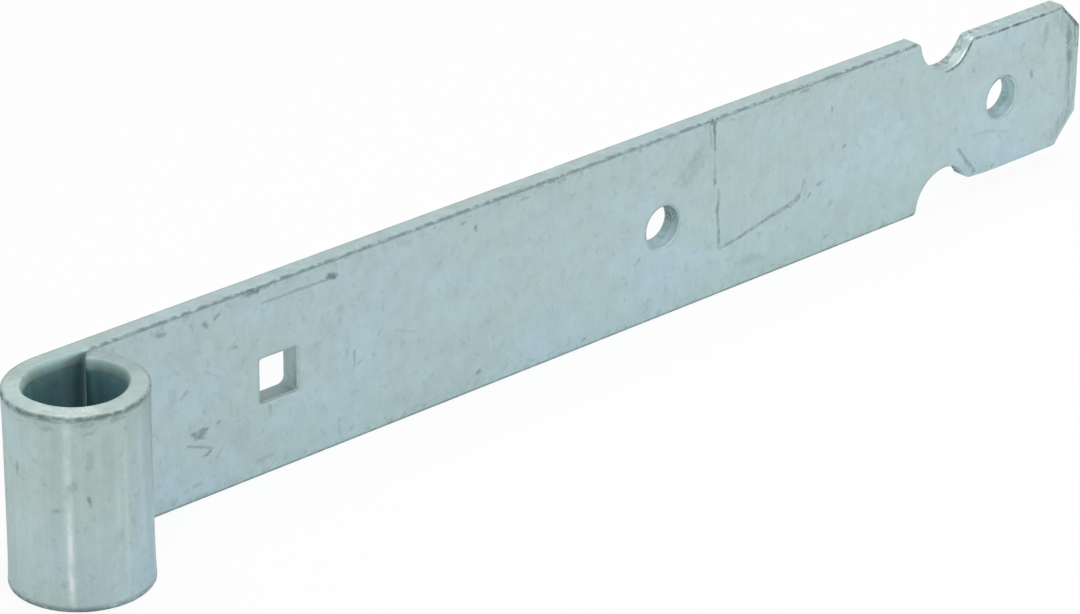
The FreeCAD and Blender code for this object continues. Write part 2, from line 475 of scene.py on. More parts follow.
def lower_edge(sizes, notch_mouth, notch_shift=0.0):
    """The blank's outline below its middle line, from the tip to the far end, with its kinds.

    The outline is in millimetres and runs with the steel on its left. Each point but the last
    has the kind of the edge that starts there.
    """
    half, reach = sizes.width / 2 / MM, sizes.reach / MM
    notch, radius = reach - (sizes.head_length + notch_shift) / MM, sizes.notch_radius / MM
    head, corner = half - sizes.head_step / MM, sizes.head_corner / MM
    shoulder, cut = sizes.shoulder_radius / MM, sizes.cut_corner / MM
    tip = tip_place(sizes)

    mouth = notch_mouth / MM
    mouth_x = notch - math.sqrt((radius + mouth) ** 2 - mouth ** 2)
    mouth_turn = math.pi / 2 - math.asin(mouth / (radius + mouth))
    shoulder_z = -head + shoulder
    shoulder_x = notch + math.sqrt((radius + shoulder) ** 2 - (half + shoulder_z) ** 2)
    leave = math.atan2(shoulder_z + half, shoulder_x - notch)
    arrive = leave + math.pi

    strap_run = np.concatenate([
        line_points((tip, 0), (tip, -half), STRAP_PITCH)[:-1],
        line_points((tip, -half), (0, -half), EYE_PITCH)[:-1],
        line_points((0, -half), (mouth_x, -half), STRAP_PITCH)[:-1],
    ])
    tip_count = math.ceil(half / STRAP_PITCH)
    kinds = [SHEARED] * tip_count + [MILL] * (len(strap_run) - tip_count)
    head_run = [
        arc_points((mouth_x, mouth - half), mouth, -math.pi / 2, mouth_turn, ARC_PITCH / 2)[:-1],
        arc_points((notch, -half), radius, math.pi / 2 + mouth_turn,
                   leave - math.pi / 2 - mouth_turn, ARC_PITCH)[:-1],
        arc_points((shoulder_x, shoulder_z), shoulder, arrive,
                   1.5 * math.pi - arrive, ARC_PITCH)[:-1],
    ]
    first = np.array([reach - corner, -head])
    second = np.array([reach, -head + corner])
    first_arc = corner_points((shoulder_x, -head), first, second, cut)
    second_arc = corner_points(first, second, (reach, 0), cut)
    head_run += [
        line_points((shoulder_x, -head), first_arc[0], STRAP_PITCH / 2)[:-1],
        first_arc[:-1],
        line_points(first_arc[-1], second_arc[0], STRAP_PITCH / 2)[:-1],
        second_arc[:-1],
        line_points(second_arc[-1], (reach, 0), STRAP_PITCH / 2),
    ]
    head_run = np.concatenate(head_run)
    kinds += [SHEARED] * (len(head_run) - 1)
    return np.concatenate([strap_run, head_run]), kinds


def outer_loop(sizes):
    """The blank's whole outer outline and the kind of each of its edges."""
    lower, kinds = lower_edge(sizes, sizes.notch_mouth)
    upper, upper_kinds = lower_edge(sizes, sizes.upper_notch_mouth, sizes.upper_notch_shift)
    upper = upper[::-1] * (1, -1)
    return np.concatenate([lower[:-1], upper[:-1]]), np.array(kinds + upper_kinds[::-1])


def round_loop(place, radius):
    """The outline of a round hole, with the steel on its left."""
    return arc_points((place, 0), radius, 0, -2 * math.pi, ARC_PITCH)[:-1]


def square_loop(place, side, radius):
    """The outline of the square hole, with the steel on its left."""
    half = side / 2
    left, right = place - half, place + half
    corners = [(left, half), (right, half), (right, -half), (left, -half)]
    around = zip(corners[-1:] + corners[:-1], corners, corners[1:] + corners[:1])
    arcs = [corner_points(before, corner, after, radius) for before, corner, after in around]
    run = []
    for arc, following in zip(arcs, arcs[1:] + arcs[:1]):
        run += [arc[:-1], line_points(arc[-1], following[0], STRAP_PITCH / 2)[:-1]]
    return np.concatenate(run)


def blank_loops(sizes):
    """Every outline of the blank with the kinds of its edges, the outside first."""
    side, corner = sizes.square_side / MM, sizes.square_corner / MM
    holes = [square_loop(SQUARE_HOLE_PLACE / MM, side, corner)]
    holes += [round_loop(place / MM, BOLT_HOLE_RADIUS / MM) for place in BOLT_PLACES]
    return [outer_loop(sizes)] + [(hole, np.full(len(hole), SHEARED)) for hole in holes]


def distance_to_edges(points, loops, kind):
    """How far each point lies from the nearest edge of one kind, in millimetres."""
    starts = np.concatenate([loop[kinds == kind] for loop, kinds in loops])
    ends = np.concatenate([np.roll(loop, -1, 0)[kinds == kind] for loop, kinds in loops])
    along = ends - starts
    nearest = np.empty(len(points))
    for at in range(0, len(points), BATCH):
        some = points[at:at + BATCH, None]
        share = np.clip(((some - starts) * along).sum(2) / (along ** 2).sum(1), 0, 1)
        gap = some - starts - share[..., None] * along
        nearest[at:at + BATCH] = np.sqrt((gap ** 2).sum(2).min(1))
    return nearest


def nearest_edge(points, loops):
    """How far each point lies from the nearest edge of either kind."""
    return np.minimum(*(distance_to_edges(points, loops, kind) for kind in (MILL, SHEARED)))


def inside(points, loops):
    """Which points lie in the steel: inside the outer outline and in none of the holes."""
    crossings = np.zeros(len(points), int)
    for loop, _ in loops:
        x0, y0 = loop.T
        x1, y1 = np.roll(loop, -1, 0).T
        for at in range(0, len(points), BATCH):
            x, y = points[at:at + BATCH].T[..., None]
            spans = (y0 > y) != (y1 > y)
            rise = np.where(y1 == y0, 1, y1 - y0)
            crossings[at:at + BATCH] += (spans & (x < x0 + (y - y0) * (x1 - x0) / rise)).sum(1)
    return crossings % 2 == 1


def edge_row_points(loops):
    """Rows of points that follow every outline inwards, without those nearer to another edge."""
    rows = []
    for loop, _ in loops:
        ahead = np.roll(loop, -1, 0) - np.roll(loop, 1, 0)
        ahead /= np.linalg.norm(ahead, axis=1)[:, None]
        inward = np.stack([-ahead[:, 1], ahead[:, 0]], 1)
        rows += [(loop + inward * gap, gap) for gap in EDGE_ROWS]
    points = np.concatenate([row for row, _ in rows])
    wanted = np.concatenate([np.full(len(row), gap) for row, gap in rows])
    points = points[(nearest_edge(points, loops) > wanted * ROW_SHARE) & inside(points, loops)]
    return one_a_cell(points, EDGE_CELL)


def grid_points(loops, sizes):
    """Points over the middle of the blank, closer together where it is rolled."""
    half = sizes.width / 2 / MM
    across = np.arange(-half, half, GRID_PITCH) + GRID_PITCH / 2
    along = np.concatenate([
        np.arange(tip_place(sizes), 0, EYE_PITCH),
        np.arange(0, sizes.reach / MM, GRID_PITCH),
    ])
    points = np.stack(np.meshgrid(along, across), -1)
    points[1::2, :, 0] += GRID_STAGGER
    points = points.reshape(-1, 2)
    clear = nearest_edge(points, loops) > EDGE_ROWS[-1] + GRID_PITCH / 3
    return points[clear & inside(points, loops)]


def mark_points(marks, loops):
    """Rows of points along every mark, closest together across it."""
    rows = []
    for mark in marks:
        start, end = np.array(mark.start), np.array(mark.end)
        length = np.linalg.norm(end - start)
        ahead = (end - start) / length
        aside = np.array([-ahead[1], ahead[0]])
        reach = MARK_ROWS[-1] * mark.width
        steps = np.arange(-reach, length + reach, max(MARK_STEP, mark.width))
        offsets = np.array(MARK_ROWS) * mark.width
        row = start + steps[:, None, None] * ahead + offsets[:, None] * aside
        rows.append(row.reshape(-1, 2))
    points = one_a_cell(np.concatenate(rows), MARK_CELL)
    return points[(nearest_edge(points, loops) > MARK_CELL) & inside(points, loops)]


def one_a_cell(points, size):
    """The first of the points in each cell of a grid."""
    _, kept = np.unique(np.round(points / size), axis=0, return_index=True)
    return points[np.sort(kept)]


def clear_of(points, others, gap):
    """The points that lie further than a gap from all the others."""
    tree = KDTree(len(others))
    for number, (along, across) in enumerate(others):
        tree.insert((along, across, 0), number)
    tree.balance()
    return points[[tree.find((along, across, 0))[2] > gap for along, across in points]]


def marks_at(points, marks):
    """How fully a mark covers each point, from 0 to 1, and that mark's strength."""
    cover, strength = np.zeros(len(points)), np.zeros(len(points))
    for mark in marks:
        length = np.subtract(mark.end, mark.start)
        offset = points - mark.start
        share = np.clip(offset @ length / (length @ length), 0, 1)
        gap = np.linalg.norm(offset - share[:, None] * length, axis=1) / mark.width
        this = 1 - smooth_step(gap, 0.2, 1.35)
        chosen = (gap < 2) & (this * mark.strength >= cover * strength)
        cover[chosen], strength[chosen] = this[chosen], mark.strength
    return cover, strength


def triangulate(loops, extra):
    """Points and triangles of the blank. The outlines' own points come first, in their order."""
    border = np.concatenate([loop for loop, _ in loops])
    points = np.concatenate([border, extra])
    edges, first = [], 0
    for loop, _ in loops:
        numbers = np.arange(len(loop)) + first
        edges += list(zip(numbers.tolist(), np.roll(numbers, -1).tolist()))
        first += len(loop)
    found = delaunay_2d_cdt([Vector(point) for point in points], edges, [], 0, SAME_POINT)
    if len(found[0]) != len(points):
        raise RuntimeError(f"of the blank's {len(points)} points {len(found[0])} were left")
    origin = np.array([ids[0] for ids in found[3]])
    triangles = origin[np.array(found[2])]
    middles = points[triangles].mean(1)
    only_border = (triangles < len(border)).all(1)
    kept = ~only_border
    kept[only_border] = inside(middles[only_border], loops)
    triangles = triangles[kept]
    a, b, c = (points[triangles[:, i]] for i in range(3))
    turn = (b[:, 0] - a[:, 0]) * (c[:, 1] - a[:, 1]) - (b[:, 1] - a[:, 1]) * (c[:, 0] - a[:, 0])
    triangles[turn < 0] = triangles[turn < 0][:, ::-1]
    return points, triangles[np.abs(turn) > NO_AREA]


def rounding(gap, depth, width):
    """How far a face has fallen at a distance from its edge: a quarter of an ellipse."""
    share = np.clip(1 - gap / width, 0, 1)
    return depth * (1 - np.sqrt(1 - share ** 2))


def smooth_step(value, low, high):
    """0 before low, 1 past high and a smooth rise between them."""
    share = np.clip((value - low) / (high - low), 0, 1)
    return share * share * (3 - 2 * share)


def uneven(along, across, *terms):
    """A gentle unevenness from 0 to 1 made of a few sine waves, given as wave numbers."""
    total = sum(np.sin(along * a + across * b + c) for a, b, c in terms)
    return 0.5 + 0.5 * total / len(terms)


def face_falls(place, mill_gap, sheared_gap, sizes):
    """How far the front face and the back face have fallen at each point of the blank.

    The cuts drag the front face down furthest beside the notches and at the far end, and the
    rolling opens the bore's lips out except at the front of the eye.
    """
    along, across = place.T
    t, bore, mill = sizes.thickness / MM, sizes.bore_radius / MM, sizes.mill_edge / MM
    middle = bore + t / 2
    tip_gap = along - tip_place(sizes)
    near_tip = tip_gap < TIP_ZONE
    cut_gap = np.where(near_tip, FAR_AWAY, sheared_gap)
    tip_only = np.where(near_tip, tip_gap, FAR_AWAY)
    nose, bore_corner = sizes.tip_nose / MM, sizes.tip_bore_corner / MM
    shoulder = (sizes.reach - sizes.head_length + sizes.notch_radius) / MM
    by_shoulder = np.exp(-((along - shoulder) / SHOULDER_DRAG) ** 2)
    by_shoulder *= smooth_step(np.abs(across), *SHOULDER_DRAG_ACROSS)
    by_end = smooth_step(along, *(sizes.reach / MM - gap for gap in END_DRAG))
    drag = np.clip(1 - cut_gap * MM / sizes.drag_width, 0, 1) ** 2 * sizes.drag_depth / MM
    worn = 0.8 + 0.4 * uneven(along, across, *PRESS_WAVES)
    front_of_eye = smooth_step(-along, *LIP_CLOSES) * (1 - smooth_step(-along, *LIP_OPENS))
    open_lip = smooth_step(-along, *LIP_STARTS) * (1 - front_of_eye)
    lip_fall = mill + (sizes.lip_fall / MM - mill) * open_lip
    lip_width = mill + (sizes.lip_width / MM - mill) * open_lip
    front = np.maximum.reduce([
        rounding(mill_gap, lip_fall, lip_width),
        rounding(cut_gap, sizes.rollover_depth / MM, sizes.rollover_width / MM) * worn,
        drag * np.maximum(by_shoulder, by_end) * worn,
        rounding(tip_only, bore_corner, bore_corner * middle / bore),
    ])
    back = np.maximum.reduce([
        rounding(mill_gap, mill, mill),
        rounding(cut_gap, sizes.back_edge / MM, sizes.back_edge / MM),
        rounding(tip_only, nose, nose * middle / (bore + t)),
    ])
    return front, back


def roll_up(place, through, sizes):
    """Where points of the blank lie once the strip is rolled, in metres.

    Rolling draws in the eye's outer edges and leaves its waist a little slimmer than its ends.
    """
    along, across = place.T
    t, half = sizes.thickness / MM, sizes.width / 2 / MM
    middle = sizes.bore_radius / MM + t / 2
    rolled = smooth_step(-along, *ROLLED)
    outward = np.clip(through / t + 0.5, 0, 1)
    from_end = half - np.abs(across)
    tip_fade = smooth_step(along - tip_place(sizes), *TIP_FADE)
    draw = sizes.edge_draw / MM * np.exp(-from_end / DRAW_REACH) * tip_fade
    across = across - np.sign(across) * draw * outward * rolled
    waist = sizes.edge_flare / MM * (1 - np.exp(-from_end / FLARE_REACH))
    flats = sizes.roll_flats / MM * uneven(along, across, *ROLL_WAVES)
    wave = sizes.waves / MM * uneven(along, across, *STRAP_WAVES)
    through = through - outward * rolled * (waist + flats) - (1 - rolled) * wave
    angle = math.pi / 2 - np.minimum(along, 0) / middle
    radius = middle + through
    return np.stack([
        radius * np.cos(angle) + np.maximum(along, 0),
        radius * np.sin(angle),
        across,
    ], 1) * MM


def back_outline(loop, number, sizes):
    """Where one outline lies on the back: the holes close in there, most of all at their foot."""
    if number == 0:
        return loop
    if number == 1:
        half, radius = sizes.square_side / 2 / MM, sizes.square_back_corner / MM
        offset = loop - (SQUARE_HOLE_PLACE / MM, 0)
        corner = np.sign(offset) * (half - radius)
        beyond = offset - corner
        in_corner = (beyond * np.sign(offset) > 0).all(1)
        length = np.linalg.norm(beyond, axis=1)[:, None]
        return loop - np.where(in_corner[:, None], beyond * (1 - radius / length), 0)
    centre = np.array([BOLT_PLACES[number - 2] / MM, 0])
    offset = loop - centre
    foot = np.clip(-offset[:, 1] * MM / BOLT_HOLE_RADIUS, 0, 1)
    return loop - offset * (sizes.hole_burr / BOLT_HOLE_RADIUS * (0.6 + 1.4 * foot))[:, None]


def band_arrays(sizes):
    """Vertices of the rolled band, its faces, and the numbers that its material reads.

    Those are each vertex's place in the blank, its distances from the mill edge and from a cut
    with a one for the walls, and the cover and strength of the marks on the side that is seen.
    """
    loops = blank_loops(sizes)
    marks = SCRIBED_LINE + SMUDGES + STRAP_MARKS + EYE_MARKS
    extra = edge_row_points(loops)
    by_marks = clear_of(mark_points(marks, loops), extra, MARK_CLEARANCE)
    extra = np.concatenate([extra, by_marks])
    extra = np.concatenate([extra, clear_of(grid_points(loops, sizes), extra, GRID_CLEARANCE)])
    points, triangles = triangulate(loops, extra)
    count, t = len(points), sizes.thickness / MM
    mill_gap = distance_to_edges(points, loops, MILL)
    sheared_gap = distance_to_edges(points, loops, SHEARED)
    front_fall, back_fall = face_falls(points, mill_gap, sheared_gap, sizes)
    cover, strength = marks_at(points, marks)
    depth = cover * strength * sizes.mark_depth / MM
    in_eye = points[:, 0] < 0
    front_fall += np.where(in_eye, 0, depth)
    back_fall += np.where(in_eye, depth, 0)
    front, back = -t / 2 + front_fall, t / 2 - back_fall

    back_points = points.copy()
    first = 0
    for number, (loop, _) in enumerate(loops):
        back_points[first:first + len(loop)] = back_outline(loop, number, sizes)
        first += len(loop)
    places, throughs = [points, back_points], [front, back]
    mill_gaps, sheared_gaps = [mill_gap, mill_gap], [sheared_gap, sheared_gap]
    faces = triangles.tolist() + (triangles[:, ::-1] + count).tolist()
    first, made = 0, 2 * count
    walls = [np.zeros(count), np.zeros(count)]
    for loop, _ in loops:
        length = len(loop)
        border = np.arange(length) + first
        walls[0][border] = walls[1][border] = 1
        rows = [border]
        for row in range(1, WALL_ROWS):
            share = row / WALL_ROWS
            places.append(points[border] * (1 - share) + back_points[border] * share)
            throughs.append(front[border] * (1 - share) + back[border] * share)
            mill_gaps.append(mill_gap[border])
            sheared_gaps.append(sheared_gap[border])
            walls.append(np.ones(length))
            rows.append(np.arange(length) + made)
            made += length
        rows.append(border + count)
        for upper, lower in zip(rows, rows[1:]):
            faces += np.stack([np.roll(upper, -1), upper, lower, np.roll(lower, -1)], 1).tolist()
        first += length
    place, through = np.concatenate(places), np.concatenate(throughs)
    edges = np.stack([np.concatenate(each) for each in (mill_gaps, sheared_gaps, walls)], 1)
    seen = np.zeros((len(place), 3))
    seen[:count, :2] = np.column_stack([cover, strength]) * ~in_eye[:, None]
    seen[count:2 * count, :2] = np.column_stack([cover, strength]) * in_eye[:, None]
    return roll_up(place, through, sizes), faces, {
        "blank_mm": np.column_stack([place, through]), "edges_mm": edges, "marks": seen}


def add_vector_attribute(mesh, name, values):
    """Stores three numbers for each vertex, for the material to read."""
    layer = mesh.attributes.new(name, "FLOAT_VECTOR", "POINT")
    layer.data.foreach_set("vector", values.astype(np.float32).ravel())


class Number:
    """A number that a node gives out. Sums and comparisons with it add nodes to its tree."""

    def __init__(self, socket):
        self.socket = socket

    def __add__(self, other):
        return sum_node("ADD", self, other)

    def __sub__(self, other):
        return sum_node("SUBTRACT", self, other)

    def __rsub__(self, other):
        return sum_node("SUBTRACT", other, self)

    def __mul__(self, other):
        return sum_node("MULTIPLY", self, other)

    def __truediv__(self, other):
        return sum_node("DIVIDE", self, other)

    def __lt__(self, other):
        return sum_node("LESS_THAN", self, other)

    def __gt__(self, other):
        return sum_node("GREATER_THAN", self, other)

    def __abs__(self):
        return sum_node("ABSOLUTE", self)

    def clamped(self):
        """The same number, kept from 0 to 1."""
        self.socket.node.use_clamp = True
        return self

    def ramp(self, low, high, to_low=0.0, to_high=1.0):
        """A smooth change from one number to another as this one goes from low to high."""
        values = dict(enumerate((self, low, high, to_low, to_high)))
        tree = self.socket.id_data
        made = add_node(tree, "ShaderNodeMapRange", values, interpolation_type="SMOOTHSTEP")
        return Number(made.outputs[0])


def put(value, socket):
    """Links a node's output to the socket, or sets the socket to a plain value."""
    if isinstance(value, Number):
        value = value.socket
    if isinstance(value, bpy.types.NodeSocket):
        socket.id_data.links.new(value, socket)
    else:
        socket.default_value = value


def add_node(tree, kind, inputs=None, **settings):
    """A new node with some of its settings changed, and its inputs given by number or by name."""
    made = tree.nodes.new(kind)
    for name, value in settings.items():
        setattr(made, name, value)
    for which, value in (inputs or {}).items():
        put(value, made.inputs[which])
    return made


def sum_node(operation, *values):
    """The result of one sum, at least one of whose values comes from a node."""
    tree = next(value.socket.id_data for value in values if isinstance(value, Number))
    made = add_node(tree, "ShaderNodeMath", dict(enumerate(values)), operation=operation)
    return Number(made.outputs[0])


def largest(first, *others):
    """The largest of several numbers."""
    for other in others:
        first = sum_node("MAXIMUM", first, other)
    return first


def attribute(tree, name):
    """The three numbers that each vertex keeps under a name."""
    return add_node(tree, "ShaderNodeAttribute", attribute_name=name).outputs["Vector"]


def parts(vector):
    """The three numbers of a vector."""
    made = add_node(vector.id_data, "ShaderNodeSeparateXYZ", {0: vector})
    return [Number(output) for output in made.outputs]


def product(vector, factor):
    """A vector or colour times another one, or times a number."""
    values = {0: vector, 1: factor}
    made = add_node(vector.id_data, "ShaderNodeVectorMath", values, operation="MULTIPLY")
    return made.outputs[0]


def noise(place, fineness, detail=2.0, roughness=0.5, distortion=0.0):
    """Cloudy noise from 0 to 1, about 0.5 on the mean, with its fineness along each axis."""
    made = add_node(place.id_data, "ShaderNodeTexNoise", {
        "Vector": product(place, fineness), "Scale": 1.0, "Detail": detail,
        "Roughness": roughness, "Distortion": distortion})
    return Number(made.outputs["Fac"])


def blend(share, first, second):
    """Two colours blended by a share."""
    values = {0: share, 6: first, 7: second}
    made = add_node(share.socket.id_data, "ShaderNodeMix", values, data_type="RGBA")
    return made.outputs[2]


def stained_and_shaded(colour, share, multiplier):
    """A colour that is multiplied by another one, or by a number, where the share is one."""
    return blend(share, colour, product(colour, multiplier))


def empty_tree(owner):
    """The node tree of a new material or world, without its first nodes."""
    owner.use_nodes = True
    owner.node_tree.nodes.clear()
    return owner.node_tree


# What the film's colour is multiplied by on each surface that differs from the faces, painted
# shade among them
STAINS_AND_SHADE = {
    # Painted shade in the bore and on the tip's end and the strap inside it, dimming highlights
    # there
    "bore": (0.52, 0.73, 0.78),
    "painted shade by the tip": (0.76, 0.78, 0.78),
    "painted shade at the corner of the tip": (0.66, 0.68, 0.68),
    "painted shade by the strap": (0.76, 0.76, 0.76),
    "lip": (0.95, 0.98, 0.94),
    "shaded lip": (0.72, 0.75, 0.75),
    # Painted shade on the hole walls
    "hole": (0.94, 0.95, 0.92),
    "press wall": (0.935, 0.90, 0.87),
    "mill wall": (0.96, 0.93, 0.90),
    "tip's top": (0.83, 0.83, 0.83),
    # Painted shade on the mill edges' rounding, dimming its highlight
    "painted shade on the mill edge rounding": (0.88, 0.89, 0.88),
    "pit": (0.42, 0.43, 0.46),
}


class Plate:
    """The surface that a point of the band is on, as numbers for its material.

    Places are in millimetres on the flat blank, where the tip is at -63, the front of the eye
    at -27, the strap's start at 0, the holes at 55, 156 and 257, the notches at 240 and the far
    end at 282. Each mask is one on the surface that it is named for.
    """

    def __init__(self, tree):
        self.blank = attribute(tree, "blank_mm")
        self.along, self.across, self.through = parts(self.blank)
        self.mill_gap, self.sheared_gap, wall = parts(attribute(tree, "edges_mm"))
        self.mark_cover, self.mark_strength, _ = parts(attribute(tree, "marks"))

        bore_side = self.through < 0.0
        self.in_eye = self.along.ramp(1.0, -3.0)
        self.eye_outside = self.in_eye * (self.through > 0.0)
        self.seen_side = self.along * self.through < 0.0
        self.on_face = (1.0 - wall).clamped()
        self.not_bore = 1.0 - bore_side * self.along.ramp(12.0, 9.5)
        self.bore_face = bore_side * self.on_face * self.along.ramp(12.0, 8.0)

        self.cut_wall = wall * self.sheared_gap.ramp(0.0, 0.02, 1.0, 0.0)
        self.mill_wall = (wall - self.cut_wall).clamped()
        self.mid_height = abs(self.across) < 5.0
        mouth = self.sheared_gap.ramp(0.5, 0.3) * bore_side
        on_strap = (self.along < 275.0) * (self.along > 0.0)
        self.holes = largest(self.cut_wall, mouth) * self.mid_height * on_strap
        self.in_square = abs(self.along - SQUARE_HOLE_PLACE / MM).ramp(8.0, 6.0)

        self.mottle = noise(self.blank, (0.32, 0.24, 0.3), 4.0, 0.62, 0.6)
        self.grain = noise(self.blank, (1.5, 1.5, 1.5), 3.0, 0.6)
        self.blotches = noise(self.blank, (0.55, 0.42, 0.5), 4.0, 0.65, 0.5)


def film_colour(plate, finish):
    """The film on the plate, from its largest patches to its finest grain, with painted light on
    the strap's far end and on part of the eye.
    """
    blank, along = plate.blank, plate.along
    patches = noise(blank, (0.03, 0.05, 0.05), 3.0, 0.55, 0.4)
    clouds = noise(blank, (0.12, 0.15, 0.2), 3.0, 0.6, 0.8)
    hue = (patches + (clouds - 0.5) * 0.35).ramp(0.34, 0.66, 0.0, 0.6)
    hue += along.ramp(2.0, -4.0, 0.0, 0.42)
    hue += plate.across.ramp(-6.0, 20.0, 0.0, 0.2)
    hue = (hue - along.ramp(-35.0, -41.0, 0.0, 0.45)).clamped()

    broad = noise(blank, (0.5, 0.03, 0.3)).ramp(0.25, 0.75, 0.955, 1.045)
    streaks = noise(blank, (1.9, 0.06, 1.0)).ramp(0.25, 0.75, 0.988, 1.012)
    rolling = noise(blank, (0.05, 3.2, 1.0), 2.0, 0.6).ramp(0.25, 0.75, 0.985, 1.015)
    value = broad * streaks * plate.in_eye + rolling * (1.0 - plate.in_eye)
    value *= plate.mottle.ramp(0.25, 0.75, 0.94, 1.06)
    value *= plate.grain.ramp(0.25, 0.75, 0.98, 1.02)
    value *= plate.blotches.ramp(0.55, 0.73, 1.0, 0.86)
    # Painted light: the strap grows lighter towards its far end
    value *= along.ramp(20.0, 270.0, 0.975, 1.07)
    # Painted light: the eye is lighter from 4 to 22 mm along it from the strap
    value *= abs(along + 13.0).ramp(9.0, 2.0, 1.0, 1.13)
    return product(blend(hue, (*finish.cool, 1), (*finish.warm, 1)), value)


def shade_bore(plate, colour):
    """Darkens the bore with painted shade, also on the tip's end and the strap's face beside it,
    and says how far it and its lips go.
    """
    along = plate.along
    # Painted shade in the bore, darkest by the tip and at the corner of the tip; the lips get a
    # slight green tint, and painted shade on their far and near parts
    tip_wall = plate.cut_wall * (along < -60.0)
    tip_end = (along < -61.8) * (plate.through < 0.9)
    bore = largest(plate.bore_face, tip_wall, tip_end) * plate.mill_gap.ramp(1.5, 3.1)
    lip = plate.mill_gap.ramp(3.1, 1.5) * plate.bore_face
    shaded = largest(along.ramp(-30.0, -44.0), along.ramp(-8.0, 0.0))
    for name, share in (
            ("bore", bore), ("painted shade by the tip", bore * along.ramp(-56.0, -60.4)),
            ("painted shade at the corner of the tip", bore * along.ramp(-61.4, -62.3)),
            ("painted shade by the strap", bore * along.ramp(-14.0, 2.0)),
            ("lip", lip), ("shaded lip", lip * shaded)):
        colour = stained_and_shaded(colour, share, STAINS_AND_SHADE[name])
    return colour, largest(bore, lip)


def shade_walls(plate, colour):
    """Paints light and shade onto the hole walls, darker at their feet and lighter in the head
    hole and the square hole, and tints the walls of the notches and head, the mill edges and the
    ends of the eye.
    """
    in_head = plate.along.ramp(240.0, 250.0)
    # Painted light and shade on the hole walls: lighter in the head hole and the square hole,
    # darker at the foot of the square hole and the lower half of the head hole
    square_foot = plate.across.ramp(-3.6, -4.4) * plate.in_square
    head_foot = plate.across.ramp(0.5, -3.0) * in_head
    hole_light_and_shade = in_head * 0.22 + 1.0 + plate.in_square * 0.12
    hole_light_and_shade = hole_light_and_shade - square_foot * 0.42 - head_foot * 0.30
    in_hole = product(product(colour, STAINS_AND_SHADE["hole"]), hole_light_and_shade)
    colour = blend(plate.holes, colour, in_hole)
    press_wall = (plate.cut_wall - plate.holes).clamped() * plate.along.ramp(225.0, 235.0)
    colour = stained_and_shaded(colour, press_wall, STAINS_AND_SHADE["press wall"])
    colour = stained_and_shaded(colour, plate.mill_wall, STAINS_AND_SHADE["mill wall"])
    tip_top = plate.mill_wall * plate.along.ramp(-46.0, -54.0)
    return stained_and_shaded(colour, tip_top, STAINS_AND_SHADE["tip's top"])


def rubbed_and_highlit_cover(plate):
    """How bright the painted highlights are: lines up the eye, which also stand for lines that the
    rolls wore bright, and the front of its upper end.
    """
    worn = noise(plate.blank, (0.5, 0.3, 0.2), 3.0, 0.6).ramp(0.36, 0.6, 0.42, 1.0)
    wander = noise(plate.blank, (0.0, 0.22, 0.0))
    along = plate.along + (wander - 0.5) * 0.15
    lines = []
    for rub in RUBBED_AND_HIGHLIT_LINES:
        gap = abs(along - rub.place)
        line = gap.ramp(rub.half_width * 0.2, rub.half_width * 1.4, rub.strength, 0.0)
        line *= plate.across.ramp(rub.low - 4.0, rub.low + 2.0)
        line *= plate.across.ramp(rub.high + 3.0, rub.high - 3.0)
        lines.append(line)
    rubbed_and_highlit = largest(*lines) * worn * plate.seen_side * plate.on_face
    # Painted highlight on the front of the eye's upper end
    ring_front_highlight = abs(plate.along + 27.0).ramp(9.0, 3.0, 0.0, 0.5) * plate.mill_wall
    return largest(rubbed_and_highlit, ring_front_highlight * plate.blotches.ramp(0.4, 0.6, 0.25, 1.0))


def speck_cover(plate):
    """Small dark specks scattered over every face, most of them faint."""
    cells = add_node(plate.blank.id_data, "ShaderNodeTexVoronoi", {
        "Vector": plate.blank, "Scale": 0.22}, feature="F1", distance="EUCLIDEAN")
    chance = parts(cells.outputs["Color"])
    chosen = chance[0].ramp(0.70, 1.0, 0.0, 0.40)
    size = chance[1].ramp(0.0, 1.0, 0.035, 0.10)
    return (Number(cells.outputs["Distance"]) / size).ramp(0.5, 1.2, 1.0, 0.0) * chosen


def mark_cover(plate, finish):
    """How dark the scratches and specks are, with ragged edges and fading along their length."""
    ragged = noise(plate.blank, (1.6, 1.6, 1.6), 4.0, 0.75) - 0.5
    fading = noise(plate.blank, (0.55, 0.55, 0.3), 2.0, 0.6)
    marks = (plate.mark_cover + ragged * 1.9).ramp(0.2, 1.0) * plate.mark_strength
    marks = marks * finish.mark_strength * fading.ramp(0.34, 0.54, 0.45, 1.1)
    return largest(marks, speck_cover(plate)) * plate.on_face


